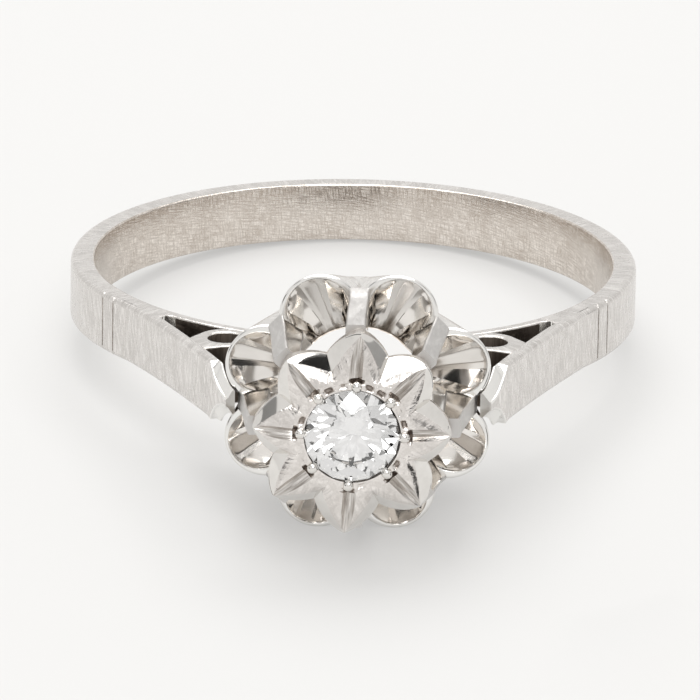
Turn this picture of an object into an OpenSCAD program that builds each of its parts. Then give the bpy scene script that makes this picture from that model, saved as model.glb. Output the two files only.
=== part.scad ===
// Diamond ring: a band with split shoulders carries a fluted cup, a star plate and one round stone.
// The ring lies on its side, on two lower petals and the back of the band.
// Lengths are millimetres. Heights in the head are counted outward from the finger's surface.

/* [Band] */
// Inside diameter of the band
finger_d = 17.4; // [17:0.1:18]
// Width of the band along the finger
band_h = 2.0; // [1.8:0.1:2.2]
// Thickness of the band at its back and sides
band_t = 0.8; // [0.75:0.05:0.9]
// Bevel along the band's four edges
band_bevel = 0.08; // [0.04:0.01:0.12]

/* [Shoulders] */
// Angle ahead of the ring's sides at which the outer plate leaves the round
leave_angle = 36; // [35:1:37]
// How far the outside steps in before it leaves the round
waist = 0.11; // [0.05:0.01:0.15]
// Thickness of the outer plate
plate_t = 0.42; // [0.38:0.02:0.46]
// Hollow of the outer plate's long side
plate_sag = 0.12; // [0.05:0.01:0.15]
// Thickness of the inner strap
strap_t = 0.35; // [0.3:0.01:0.4]
// Angle ahead of the ring's sides at which the shoulder splits
split_angle = 48; // [47:0.5:49]
// Half distance between the two plate tips
tip_x = 3.93; // [3.93:0.01:4.1]
// Height of the plate tips above the finger
tip_up = 4.1; // [4:0.05:4.15]
// Width of a plate tip along the finger
tip_h = 0.3; // [0.25:0.05:0.4]
// Radius of the fishtail cut above and below a tip
fish_r = 1.5; // [1.4:0.05:1.7]
// Distance of a tube's centre from the ring's middle line
tube_x = 4.33; // [4.28:0.01:4.38]
// Outer radius of a tube
tube_r = 0.97; // [0.94:0.01:1]
// Radius of the hole in a tube
tube_hole_r = 0.57; // [0.5:0.01:0.65]
// Width of an engraved line
line_w = 0.12; // [0.08:0.01:0.16]

/* [Petal cup] */
// Height of the petals' rim above the finger
rim_up = 3.8; // [3.7:0.05:3.9]
// Radius of one petal's outer arch
petal_r = 1.35; // [1.32:0.01:1.38]
// Distance of a petal arch's centre from the head's axis
petal_at = 3.18; // [3.15:0.01:3.2]
// Thickness of the petals' rim
rim_t = 0.17; // [0.15:0.01:0.25]
// Height of the cup's back edge above the finger
base_up = 0.7; // [0.6:0.05:0.8]
// Radius of the cup's back edge
base_r = 3.3; // [3.25:0.05:3.35]
// Radius of the opening at the petals' feet
well_r = 2.15; // [2.1:0.05:2.2]
// Height of that opening above the finger
well_up = 2.5; // [2.4:0.05:2.6]
// Outer radius of the collar that stands on the finger side
collar_r = 3.0; // [2.95:0.05:3.05]
// Wall of the collar
collar_t = 0.4; // [0.35:0.05:0.45]
// Width of a rib
rib_w = 0.65; // [0.6:0.05:0.7]
// Distance of a rib's outer face from the head's axis, at the rim
rib_out = 3.87; // [3.84:0.01:3.88]
// Distance of a rib's inner face from the head's axis
rib_in = 2.8; // [2.7:0.05:2.9]

/* [Star plate] */
// Height of the plate's underside above the finger
plate_up = 6.3; // [6.2:0.05:6.35]
// Height of the ray tips above the finger
tip_ray_up = 6.95; // [6.9:0.05:7]
// Height of the seat's edge above the finger
seat_up = 7.36; // [7.34:0.01:7.4]
// Height of the valleys between the rays, at their outer end, above the finger
valley_up = 6.9; // [6.86:0.02:6.96]
// Length of a ray from the head's axis
ray_r = 3.27; // [3.24:0.01:3.3]
// Distance of a valley's outer end from the head's axis
valley_r = 2.7; // [2.6:0.05:2.75]
// Width of a ray's blunt tip
ray_tip_w = 0.72; // [0.65:0.01:0.8]
// Turn of the star against the cup
star_turn = -2.7; // [-4:0.1:4]
// Depth of the bright cut down the middle of a ray
cut_depth = 0.16; // [0.1:0.01:0.2]
// Radius of a bead
bead_r = 0.17; // [0.15:0.01:0.19]

/* [Stone] */
// Diameter of the stone
stone_d = 3.05; // [3:0.01:3.1]
// Angle of the crown's main facets
crown_angle = 34.5; // [33:0.5:36]
// Angle of the pavilion's main facets
pavilion_angle = 40.8; // [40:0.2:41.4]
// Table width as a share of the stone's width
table_share = 0.57; // [0.55:0.01:0.6]
// Height of the girdle's lower edge above the finger
girdle_up = 7.24; // [7.22:0.01:7.3]
// Thickness of the girdle
girdle_t = 0.08; // [0.06:0.01:0.1]
// Gap kept between pieces
gap = 0.03; // [0.02:0.01:0.05]

/* [Hidden] */
$fn = 64;
gold = [0.80, 0.78, 0.75];
clear = [0.92, 0.95, 0.97, 0.6];
finger_r = finger_d / 2;
band_r = finger_r + band_t;

// Petals, ribs and rays share one count, and the stone is cut in as many sectors
petals = 8;
sector = 360 / petals;

// Points of the shoulder in plan, with y towards the head. Its blank starts a degree inside the band,
// and reaches into the finger hole by a margin that the bore then cuts away.
round_steps = 6;
long_steps = 10;
band_past = 4;
blank_from = band_past - 1;
blank_margin = 0.3;
leave_r = band_r - waist;
plate_start = leave_r * [cos(leave_angle), sin(leave_angle)];
plate_end = [tip_x + plate_t, finger_r + tip_up];
plate_run = plate_end - plate_start;
plate_out = [plate_run[1], -plate_run[0]] / norm(plate_run);
strap_r = finger_r + strap_t;
strap_end_x = collar_r + gap;

// The opening between strap and plate: its span along the plate, where its floor ends, and its round start
open_from = 0.24;
open_to = 1.08;
open_end_angle = 84;
split_sag = plate_sag * 0.55;
split_gap = plate_reach(split_angle) - strap_r;
split_mid_r = strap_r + split_gap / 2;

// A tube's foot sinks this far into the strap, and a web of solder joins it to the plate
tube_sink = 0.08;
tube_at = [tube_x, sqrt(pow(strap_r + tube_r - tube_sink, 2) - tube_x * tube_x)];
web_w = 0.95;
web_angle = atan2(plate_out[1], plate_out[0]);

// The two engraved lines of a shoulder, as angles ahead of the ring's sides, and the radius they lie at
line_angles = [27, 31];
line_r = band_r - waist * 0.75;

// Heights in the head, from the ring's centre
rim_y = finger_r + rim_up;
base_y = finger_r + base_up;
well_y = finger_r + well_up;
plate_y = finger_r + plate_up;

// Inside of the cup behind the petals: the well's lip, then a cavity that widens towards the base
lip_h = 0.35;
cavity_h = 1.25;
base_wall = 0.02;
collar_weld = 0.05;

// Outer face of a rib from its foot in the cup's wall: height over the rim, and how far it steps in
rib_face = [[-1.2, 0.57], [-1.6, 0.5], [-0.1, 0.02], [0, 0], [0.6, 0.15], [plate_up - rim_up, 0.46]];
rib_foot = 0.3;

// A ray's side runs straight from its blunt tip's corner to the valley beside it
ray_corner = [ray_r, ray_tip_w / 2];
ray_side = valley_r * [cos(sector / 2), sin(sector / 2)] - ray_corner;
ray_side_out = [ray_side[1], -ray_side[0]] / norm(ray_side);

// Half width of a ray's bright cut beside the bead, and at the tip
cut_wide = 0.32;
cut_narrow = 0.02;

// The stone's seat, and the room under it for the pavilion
seat_r = stone_d / 2 + gap;
girdle_y = finger_r + girdle_up;
pavilion_room = 0.42;
plate_draft = 0.06;

// A bead sits against the girdle and leans a little over the stone's edge
bead_at = stone_d / 2 + 0.1;
bead_y = girdle_y + girdle_t + 0.12;
bead_lip = 0.06;
bead_spread = 3.5;

// Resting pose: on the lower petals' arches and the band's bottom edge behind
low_petal = petal_at * cos(sector / 2) + petal_r;
foot_r = band_r - band_bevel;
tilt = atan((low_petal - band_h / 2) / (rim_y + foot_r));
lift = foot_r * sin(tilt) + band_h / 2 * cos(tilt);
table_r = table_share * stone_d / 2;
table_y = girdle_y + girdle_t + (stone_d / 2 - table_r) * tan(crown_angle);
front_y = table_y * cos(tilt) + table_r * sin(tilt);
back_y = band_r * cos(tilt) + (band_h / 2 - band_bevel) * sin(tilt);

// Outer side of the long plate at share s of its length, and its inner side
function plate_outer(s) = plate_start + plate_run * s - plate_out * plate_sag * 4 * s * (1 - s);
function plate_inner(s) = plate_outer(s) - plate_out * plate_t;

// Distance from the ring's centre to the plate's inner side along angle a, near the split
function plate_reach(a) = (plate_start * plate_out - plate_t - split_sag) / ([cos(a), sin(a)] * plate_out);

// Points on a circle of radius r from angle a to angle b, in n steps
function arc(r, a, b, n) = [for (i = [0:n]) let (q = a + (b - a) * i / n) r * [cos(q), sin(q)]];

// Outside of the band from its side to where the plate leaves it, stepping in by the waist
function side_arc() = [for (i = [0:round_steps])
    let (q = blank_from + (leave_angle - blank_from) * i / round_steps,
         r = band_r - waist * (1 - cos(180 * i / round_steps)) / 2)
    r * [cos(q), sin(q)]];

// Distance of the scalloped rim from the head's axis at angle a
function rim_reach(a) =
    let (b = (a + 360) % sector - sector / 2)
    petal_at * cos(b) + sqrt(pow(petal_r, 2) - pow(petal_at * sin(b), 2));

// Distance of the star's outline from the head's axis, at an angle b from the nearest ray
function star_reach(b) =
    min(ray_r / cos(b), ray_corner * ray_side_out / ([cos(b), sin(abs(b))] * ray_side_out));

// Height of the star's rays, valleys and bright cuts at radius r and angle b from the nearest ray
function ray_top(r, b) =
    let (out = (r - seat_r) / (ray_r - seat_r),
         ridge = seat_up + (tip_ray_up - seat_up) * out,
         valley = seat_up - (seat_up - valley_up) * min(1, (r - seat_r) / (valley_r - seat_r)),
         cut_half = cut_wide + (cut_narrow - cut_wide) * out,
         cut = cut_depth * (1 - out) * max(0, 1 - r * abs(sin(b)) / cut_half))
    finger_r + ridge + (valley - ridge) * abs(b) / (sector / 2) - cut;

// Height of the round top of a bead there, or 0 beside it
function bead_top(r, b) =
    let (d = norm([r * cos(b) - bead_at, r * sin(b)]))
    d < bead_r ? bead_y + sqrt(bead_r * bead_r - d * d) : 0;

// Top of the star at share s from the seat to the outline, as radius and height
function star_top(s, b) =
    let (r = seat_r + (star_reach(b) - seat_r) * s - (s == 0 && abs(b) < bead_spread ? bead_lip : 0))
    [r, max(ray_top(r, b), bead_top(r, b))];

// Seat under that: the wall round the girdle, the cone under it, the hole, and the plate's underside
function star_seat(b) =
    let (foot = girdle_y - gap,
         wall_y = abs(b) < bead_spread ? girdle_y + girdle_t + 0.02 : (star_top(0, b)[1] + foot) / 2)
    [[seat_r, wall_y], [seat_r, foot], [seat_r - pavilion_room, foot - pavilion_room],
        [seat_r - pavilion_room, plate_y + gap], [star_reach(b) - plate_draft, plate_y + gap]];

// Points of n corners on a circle of radius r at height z, the first at angle turn
function corners(r, z, n, turn) = [for (i = [0:n - 1])
    [r * cos(360 * i / n + turn), r * sin(360 * i / n + turn), z]];

// Closed skin round an axis. Each profile is a loop of radius and height at its own angle.
module turned_skin(angles, profiles) {
    n = len(angles);
    m = len(profiles[0]);
    points = [for (i = [0:n - 1], p = profiles[i]) [p[0] * cos(angles[i]), p[0] * sin(angles[i]), p[1]]];
    faces = [for (i = [0:n - 1], j = [0:m - 1])
        let (i2 = (i + 1) % n, j2 = (j + 1) % m)
        each [[i * m + j, i * m + j2, i2 * m + j2], [i * m + j, i2 * m + j2, i2 * m + j]]];
    polyhedron(points, faces, convexity = 8);
}

module rest() {
    translate([0, (front_y - back_y) / 2, lift]) rotate([-tilt, 0, 0]) children();
}

// The head is drawn with its axis up, then turned to point to the front
module head() {
    rest() rotate([90, 0, 0]) children();
}

module band() {
    h = band_h / 2;
    b = band_bevel;
    rotate([0, 0, -band_past]) rotate_extrude(angle = 180 + 2 * band_past, $fn = 128)
        polygon([[finger_r, -h + b], [finger_r + b, -h], [band_r - b, -h], [band_r, -h + b],
            [band_r, h - b], [band_r - b, h], [finger_r + b, h], [finger_r, h - b]]);
}

// The finger hole with its two bevelled mouths, to be cut out
module bore() {
    h = band_h / 2;
    b = band_bevel;
    rotate_extrude($fn = 128)
        polygon([[0, -2 * h], [finger_r + h + b, -2 * h], [finger_r, -h + b],
            [finger_r, h - b], [finger_r + h + b, 2 * h], [0, 2 * h]]);
}

// The strap ends square against the collar
module shoulder_blank() {
    inner_r = finger_r - blank_margin;
    strap_end = [strap_end_x, sqrt(strap_r * strap_r - strap_end_x * strap_end_x)];
    linear_extrude(band_h, center = true)
        polygon(concat(side_arc(), [for (i = [1:long_steps]) plate_outer(i / long_steps)],
            [plate_inner(1), strap_end], arc(inner_r, acos(strap_end_x / inner_r), blank_from, long_steps)));
}

module shoulder_opening() {
    plate_side = [for (i = [0:long_steps]) plate_inner(open_from + (open_to - open_from) * i / long_steps)];
    linear_extrude(band_h * 2, center = true)
        polygon(concat(plate_side, arc(strap_r, open_end_angle, split_angle, long_steps)));
    rotate([0, 0, split_angle]) translate([split_mid_r, 0, 0])
        cylinder(r = split_gap / 2, h = band_h * 2, center = true);
}

// Two round cuts narrow the plate to its tip
module fishtail_cut() {
    for (side = [-1, 1])
        translate([plate_end[0], plate_end[1], side * (tip_h / 2 + fish_r)])
            rotate([0, 90, 0]) cylinder(r = fish_r, h = 4, center = true);
}

module tube() {
    middle = (tube_r + tube_hole_r) / 2;
    difference() {
        union() {
            translate(tube_at) cylinder(r = tube_r, h = band_h, center = true);
            translate(tube_at) rotate([0, 0, web_angle]) translate([middle, -web_w / 2, -band_h / 2])
                cube([tube_r + plate_t - middle, web_w, band_h]);
        }
        translate(tube_at) cylinder(r = tube_hole_r, h = band_h * 2, center = true);
        cylinder(r = finger_r + strap_t / 2, h = band_h * 2, center = true);
    }
}

// One shoulder on the right, with y towards the head
module shoulder() {
    difference() {
        shoulder_blank();
        bore();
        shoulder_opening();
        fishtail_cut();
        for (q = line_angles)
            rotate([0, 0, q]) translate([line_r, 0, 0])
                cylinder(d = line_w, h = band_h * 2, center = true, $fn = 16);
    }
    tube();
}

module shank() {
    color(gold) rest() {
        band();
        mirror([0, 1, 0]) shoulder();
        mirror([0, 1, 0]) mirror([1, 0, 0]) shoulder();
    }
}

module rib() {
    rotate([90, 0, 0]) linear_extrude(rib_w, center = true)
        polygon(concat([[rib_in, plate_y], [rib_in, well_y + rib_foot]],
            [for (p = rib_face) [rib_out - p[1], rim_y + p[0]]]));
}

module cup_wall() {
    angles = [for (i = [0:95]) 360 * i / 96];
    turned_skin(angles, [for (a = angles)
        [[rim_reach(a), rim_y], [rim_reach(a) - rim_t, rim_y], [well_r, well_y], [well_r, well_y - lip_h],
            [base_r - base_wall, rim_y - cavity_h], [collar_r - collar_weld, base_y], [base_r, base_y]]]);
}

// The collar's far end is cut round, to follow the finger
module collar() {
    deep = 1;
    difference() {
        translate([0, 0, finger_r - deep]) cylinder(r = collar_r, h = deep + base_up + lip_h / 2);
        cylinder(r = collar_r - collar_t, h = rim_y);
        rotate([90, 0, 0]) cylinder(r = finger_r, h = 4 * collar_r, center = true, $fn = 128);
    }
}

module petal_cup() {
    color(gold) head() {
        cup_wall();
        for (i = [0:petals - 1]) rotate([0, 0, sector * i]) rib();
        collar();
    }
}

// Rays, valleys, seat and beads are one skin
module star_plate() {
    half_angles = [0, 1.5, 3, 4.5, atan(ray_corner[1] / ray_r), 8, 11, 14, 17, 20];
    shares = [1, 0.8, 0.6, 0.4, 0.26, 0.2, 0.16, 0.12, 0.08, 0.04, 0];
    sides = concat([for (i = [len(half_angles) - 1:-1:1]) -half_angles[i]], half_angles, [sector / 2]);
    angles = [for (k = [0:petals - 1], b = sides) 90 + star_turn + sector * k + b];
    color(gold) head() turned_skin(angles, [for (k = [0:petals - 1], b = sides)
        concat([for (s = shares) star_top(s, b)], star_seat(b))]);
}

// Round brilliant: table, star, bezel and girdle facets above, mains and lower halves below
module diamond() {
    n = petals;
    girdle_r = stone_d / 2;
    top = girdle_y + girdle_t;
    mid_r = (table_r + girdle_r) / 2;
    mid_up = (girdle_r - mid_r * cos(sector / 2)) * tan(crown_angle);
    lower_r = girdle_r * 0.24;
    lower_down = (girdle_r - lower_r * cos(sector / 2)) * tan(pavilion_angle);
    points = concat(corners(table_r, table_y, n, 0), corners(mid_r, top + mid_up, n, sector / 2),
        corners(girdle_r, top, 2 * n, 0), corners(girdle_r, girdle_y, 2 * n, 0),
        corners(lower_r, girdle_y - lower_down, n, sector / 2),
        [[0, 0, girdle_y - girdle_r * tan(pavilion_angle)]]);
    mid = n;
    up = 2 * n;
    under = 4 * n;
    foot = 6 * n;
    culet = 7 * n;
    faces = concat(
        [[for (i = [n - 1:-1:0]) i]],
        [for (i = [0:n - 1])
            let (j = (i + 1) % n, g = 2 * i, g2 = (2 * i + 2) % (2 * n), before = (i + n - 1) % n)
            each [[i, j, mid + i], [i, mid + i, up + g], [i, up + g, mid + before],
                [mid + i, up + g + 1, up + g], [mid + i, up + g2, up + g + 1],
                [foot + i, under + g, under + g + 1], [foot + i, under + g + 1, under + g2],
                [culet, under + g, foot + i], [culet, foot + i, under + g2]]],
        [for (i = [0:2 * n - 1])
            let (j = (i + 1) % (2 * n))
            each [[up + i, up + j, under + j], [up + i, under + j, under + i]]]);
    color(clear) head() rotate([0, 0, 90]) polyhedron(points, faces, convexity = 4);
}

shank();
petal_cup();
star_plate();
diamond();
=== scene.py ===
# Diamond ring in white gold, lying on its side. Lengths in the dictionaries are millimetres.
import math

import bmesh
import bpy
import numpy as np
from mathutils import Matrix, Vector


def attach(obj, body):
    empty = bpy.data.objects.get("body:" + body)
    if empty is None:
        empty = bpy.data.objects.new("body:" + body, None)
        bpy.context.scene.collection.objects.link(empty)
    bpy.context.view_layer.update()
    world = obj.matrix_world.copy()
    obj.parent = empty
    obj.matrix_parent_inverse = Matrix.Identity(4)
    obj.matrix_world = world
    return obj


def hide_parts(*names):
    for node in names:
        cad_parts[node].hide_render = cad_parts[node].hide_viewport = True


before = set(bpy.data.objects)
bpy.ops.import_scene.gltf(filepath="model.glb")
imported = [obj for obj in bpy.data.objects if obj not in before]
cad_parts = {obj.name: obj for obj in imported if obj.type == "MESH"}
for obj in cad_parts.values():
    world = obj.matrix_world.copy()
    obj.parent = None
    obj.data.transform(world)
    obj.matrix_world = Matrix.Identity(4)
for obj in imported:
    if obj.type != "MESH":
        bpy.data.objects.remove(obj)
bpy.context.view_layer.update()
print("frame loaded:", sorted(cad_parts))

# sizes that the pieces share; x points to the right, "rear" from the ring's centre to the back of the band,
# "out" from the centre to the stone, and "up" along the finger
ring = {
    "fingerRadius": 8.7,
    "bandRadius": 9.5,
    "halfWidth": 1.0,
    "tilt": math.radians(8.530604),  # the head rests lower than the band's back, so the ring leans
    "lift": 2.386278,
    "shift": 3.443019,
    "petals": 8,
    "headLean": 0.12,  # the cup and the shoulders stand this far to the right of the band's middle
    "leanGrows": (2, 5),  # how far out this begins, and the length over which it grows
    "leanFades": (12.5, 2.5),
}
sector = 2 * math.pi / ring["petals"]
perMetre = 1000  # millimetres


def ease(t):
    # smooth step from 0 to 1: 3 t squared less 2 t cubed
    t = np.clip(t, 0, 1)
    return t * t * (3 - 2 * t)


def toFrame(x, rear, up):
    # ring millimetres to the frame's metres: a turn by the tilt about X, then the shift and the lift
    c, s = math.cos(ring["tilt"]), math.sin(ring["tilt"])
    y = rear * c + up * s + ring["shift"]
    z = -rear * s + up * c + ring["lift"]
    return np.stack(np.broadcast_arrays(x, y, z), axis=-1) / perMetre


def leaning(x, rear, up):
    # the same, with the slight lean: none in the band, full in shoulders and cup, none again at the star
    out = -np.asarray(rear)
    (grows, growth), (fades, fading) = ring["leanGrows"], ring["leanFades"]
    share = ease((out - grows) / growth) * (1 - ease((out - fades) / fading))
    return toFrame(x + ring["headLean"] * share, rear, up)


def polar(radius, angle):
    # points in a plane from their distance and direction
    return np.stack([radius * np.cos(angle), radius * np.sin(angle)], axis=-1)


def cells(grid, wrapRows=False, wrapCols=False):
    # the four corners of every cell of a grid of points
    g = np.concatenate([grid, grid[:1]]) if wrapRows else grid
    g = np.concatenate([g, g[:, :1]], axis=1) if wrapCols else g
    quads = np.stack([g[:-1, :-1], g[:-1, 1:], g[1:, 1:], g[1:, :-1]], axis=2)
    return quads.reshape(-1, 4, g.shape[-1])


def placed(name, data):
    # a new object in the scene, at the origin
    made = bpy.data.objects.new(name, data)
    bpy.context.scene.collection.objects.link(made)
    return made


class Shell:
    # gathers the cells of one piece with a finish number and UVs in millimetres, and welds them
    weldSteps = 1e8  # to the metre; corners that round to the same step become one point

    def __init__(self):
        self.corners, self.finish, self.uv = [], [], []

    def add(self, corners, finish=0, uv=None):
        # corners[cell, corner, axis]
        self.corners.append(corners)
        self.finish.append(np.broadcast_to(finish, len(corners)))
        self.uv.append(np.zeros((len(corners), 4, 2)) if uv is None else uv)

    def addGrid(self, grid, finish, flat, **wraps):
        # a grid of points with the UVs of the points
        self.add(cells(grid, **wraps), finish, cells(flat, **wraps))

    def build(self, name, materials, node, sharpAngle):
        # one mesh in place of a node; edges that turn by more than sharpAngle degrees stay sharp
        corners = np.concatenate(self.corners)
        keys = np.round(corners.reshape(-1, 3) * self.weldSteps).astype(np.int64)
        first, index = np.unique(keys, axis=0, return_index=True, return_inverse=True)[1:]
        points = corners.reshape(-1, 3)[first]
        index = index.reshape(-1, 4)
        kept = index != np.roll(index, -1, axis=1)  # a corner that repeats its neighbour makes a triangle
        sizes = kept.sum(axis=1)
        whole = sizes >= 3
        kept &= whole[:, None]
        mesh = bpy.data.meshes.new(name)
        mesh.vertices.add(len(points))
        mesh.vertices.foreach_set("co", points.astype(np.float32).ravel())
        mesh.loops.add(int(kept.sum()))
        mesh.loops.foreach_set("vertex_index", index[kept].astype(np.int32))
        mesh.polygons.add(int(whole.sum()))
        starts = np.concatenate([[0], np.cumsum(sizes[whole])[:-1]])
        mesh.polygons.foreach_set("loop_start", starts.astype(np.int32))
        mesh.polygons.foreach_set("material_index", np.concatenate(self.finish)[whole].astype(np.int32))
        layer = mesh.uv_layers.new(name="surface")
        layer.data.foreach_set("uv", np.concatenate(self.uv)[kept].astype(np.float32).ravel())
        mesh.update(calc_edges=True)
        faceOutward(mesh)
        mesh.shade_smooth()
        mesh.set_sharp_from_angle(angle=math.radians(sharpAngle))
        for finish in materials:
            mesh.materials.append(finish)
        piece = placed(name, mesh)
        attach(piece, "root")
        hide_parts(node)
        print(f"{name}: {int(whole.sum())} faces")


def faceOutward(mesh):
    # every closed surface of the mesh gets its faces turned outwards
    work = bmesh.new()
    work.from_mesh(mesh)
    bmesh.ops.recalc_face_normals(work, faces=work.faces)
    work.to_mesh(mesh)
    work.free()


# materials: every pattern reads the piece's own "surface" UV, so its scales are waves to the millimetre
def material(name, colour, metallic, roughness):
    # a plain surface, and the shader that takes its patterns
    made = bpy.data.materials.new(name)
    made.use_nodes = True
    shader = put(made.node_tree.nodes["Principled BSDF"], Base_Color=(*colour, 1))
    return made, put(shader, Metallic=metallic, Roughness=roughness)


def put(node, **inputs):
    # gives a node's inputs a value or another node's output each; i0 is the first input
    for key, value in inputs.items():
        numbered = key[0] == "i" and key[1:].isdigit()
        socket = node.inputs[int(key[1:]) if numbered else key.replace("_", " ")]
        if isinstance(value, bpy.types.NodeSocket):
            node.id_data.links.new(value, socket)
        else:
            socket.default_value = value
    return node


def add(tree, kind, settings=None, **inputs):
    # a new node with its settings and inputs
    made = tree.nodes.new(kind)
    for key, value in (settings or {}).items():
        setattr(made, key, value)
    return put(made, **inputs)


def surfacePattern(tree, scale, turn, detail, spread):
    # noise stretched along one direction of the surface; what is within the spread of its mean fills 0 to 1
    uv = add(tree, "ShaderNodeUVMap", {"uv_map": "surface"}).outputs["UV"]
    turned = add(tree, "ShaderNodeMapping", {"vector_type": "TEXTURE"}, Vector=uv, Rotation=(0, 0, turn),
                 Scale=(1 / scale[0], 1 / scale[1], 1)).outputs["Vector"]
    noise = add(tree, "ShaderNodeTexNoise", Vector=turned, Scale=1.0, Detail=detail).outputs["Fac"]
    ranged = add(tree, "ShaderNodeMapRange", Value=noise, From_Min=0.5 - spread, From_Max=0.5 + spread)
    return ranged.outputs["Result"]


def weighted(tree, pattern, share, rest):
    # the pattern times its share, plus the rest
    node = add(tree, "ShaderNodeMath", {"operation": "MULTIPLY_ADD"}, i0=pattern, i1=share, i2=rest)
    return node.outputs[0]


def mixed(tree, factor, first, second):
    # from the first colour to the second as the factor rises
    node = add(tree, "ShaderNodeMix", {"data_type": "RGBA"}, Factor=factor)
    numbers = [i for i, socket in enumerate(node.inputs) if socket.type == "RGBA"]
    for number, colour in zip(numbers, (first, second)):
        put(node, **{f"i{number}": (*colour, 1) if isinstance(colour, tuple) else colour})
    return [socket for socket in node.outputs if socket.type == "RGBA"][0]


def bumped(tree, shader, height, strength, distance):
    # the pattern as small heights, up to the distance in millimetres
    bump = add(tree, "ShaderNodeBump", Height=height, Strength=strength, Distance=distance / perMetre)
    put(shader, Normal=bump.outputs["Normal"])


wear = {
    "strokeDetail": 4.0,
    "strokeSpread": 0.12,  # the smaller, the harder the edges of the strokes
    "speckle": (16, 16),
    "speckleShare": 0.5,
    "blotchTurn": 0.4,
    "blotchShare": 0.35,
    "softDetail": 2.0,  # of speckle and blotches
    "softSpread": 0.2,
    "tone": (0.1, 1.3),  # sum of the patterns where the colour is dark and where it is light
    "roughness": (0.8, 1.25),  # in light and dark blotches, as shares of the metal's own
    "depth": 0.02,
}


def satinMetal(name, light, dark, roughness, strokes, grain, strength):
    # worn: the product of two sets of fine strokes, each with its scale and turn, plus speckle and blotches
    p = wear
    made, shader = material(name, light, 1, roughness)
    tree = made.node_tree
    first, second = (surfacePattern(tree, stroke[:2], stroke[2], p["strokeDetail"], p["strokeSpread"])
                     for stroke in strokes)
    blotch = surfacePattern(tree, (grain, grain), p["blotchTurn"], p["softDetail"], p["softSpread"])
    scratches = add(tree, "ShaderNodeMath", {"operation": "MULTIPLY"}, i0=first, i1=second).outputs[0]
    speckle = surfacePattern(tree, p["speckle"], 0.0, p["softDetail"], p["softSpread"])
    worn = weighted(tree, speckle, p["speckleShare"], scratches)
    tone = weighted(tree, blotch, p["blotchShare"], worn)
    tone = add(tree, "ShaderNodeMapRange", Value=tone, From_Min=p["tone"][0], From_Max=p["tone"][1])
    low, high = p["roughness"]
    rough = add(tree, "ShaderNodeMapRange", Value=blotch, To_Min=roughness * low, To_Max=roughness * high)
    colour = mixed(tree, tone.outputs["Result"], dark, light)
    put(shader, Base_Color=colour, Roughness=rough.outputs["Result"])
    bumped(tree, shader, scratches, strength, p["depth"])
    return made


polish = {
    "detail": 3.0,
    "spread": 0.2,
    "depth": 0.02,
    "hollowShadeScale": (2.5, 2.5),
    "hollowShadeDetail": 4.0,
    "hollowShadeReach": 0.4,  # how far the edge of the painted shade wanders
}


def polishedMetal(name, light, dark, roughness, scale, strength=0.0, hollowShade=None):
    # near mirror, with a faint uneven tone and fine wipe marks; the last argument is a painted shade: a
    # colour and the two heights, read from the UV's second part, between which it fades out
    p = polish
    made, shader = material(name, light, 1, roughness)
    tree = made.node_tree
    tone = surfacePattern(tree, scale, 0.0, p["detail"], p["spread"])
    colour = mixed(tree, tone, dark, light)
    if hollowShade:
        # painted shade: the shade's colour deep down, fading to the metal between the two heights
        shadeColour, darkest, clear = hollowShade
        uv = add(tree, "ShaderNodeUVMap", {"uv_map": "surface"}).outputs["UV"]
        height = add(tree, "ShaderNodeSeparateXYZ", Vector=uv).outputs["Y"]
        uneven = surfacePattern(tree, p["hollowShadeScale"], 0.0, p["hollowShadeDetail"], p["spread"])
        height = weighted(tree, uneven, p["hollowShadeReach"], height)
        unshaded = add(tree, "ShaderNodeMapRange", Value=height, From_Min=darkest, From_Max=clear)
        colour = mixed(tree, unshaded.outputs["Result"], shadeColour, colour)
    put(shader, Base_Color=colour)
    if strength:
        bumped(tree, shader, tone, strength, p["depth"])
    return made


# light and dark colour and roughness, then the two sets of strokes, the grain of the blotches and the bump
satinGolds = {
    "satinGold": ((0.835, 0.81, 0.785), (0.58, 0.555, 0.53), 0.26,
                  ((14, 1.0, 0.1), (11, 0.9, -0.28)), 1.5, 0.22),
    "insideGold": ((0.88, 0.83, 0.775), (0.50, 0.44, 0.385), 0.2,
                   ((20, 1.8, 1.45), (20, 2.2, 0.1)), 0.7, 0.22),
    "shadowGold": ((0.16, 0.135, 0.115), (0.07, 0.055, 0.045), 0.5,  # painted shade with some tarnish, on walls deep in the slot and round the tubes
                   ((6, 0.8, 0.1), (0.9, 6, 0.1)), 2.0, 0.4),
    "flankGold": ((0.80, 0.78, 0.755), (0.64, 0.62, 0.60), 0.24, ((7, 1.1, 0.2), (6, 1.2, -0.3)), 1.2, 0.25),
    "ribGold": ((0.64, 0.625, 0.61), (0.52, 0.505, 0.49), 0.36, ((7, 1.3, 0.2), (6, 1.2, -0.4)), 1.6, 0.3),
    # pitGold is painted shade, in the star's pits and marks and on the engraved lines' dark side
    "pitGold": ((0.50, 0.45, 0.41), (0.20, 0.17, 0.15), 0.4, ((6, 2, 0.1), (3, 6, 0.1)), 4.0, 0.3),
    "rayGold": ((0.87, 0.835, 0.805), (0.66, 0.625, 0.595), 0.17, ((7, 1.0, 0.9), (6, 1.1, -1.1)), 2.2, 0.4),
    "underGold": ((0.80, 0.765, 0.73), (0.56, 0.52, 0.48), 0.3, ((4, 1.0, 0.2), (5, 1.1, -0.2)), 1.0, 0.2),
}
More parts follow.
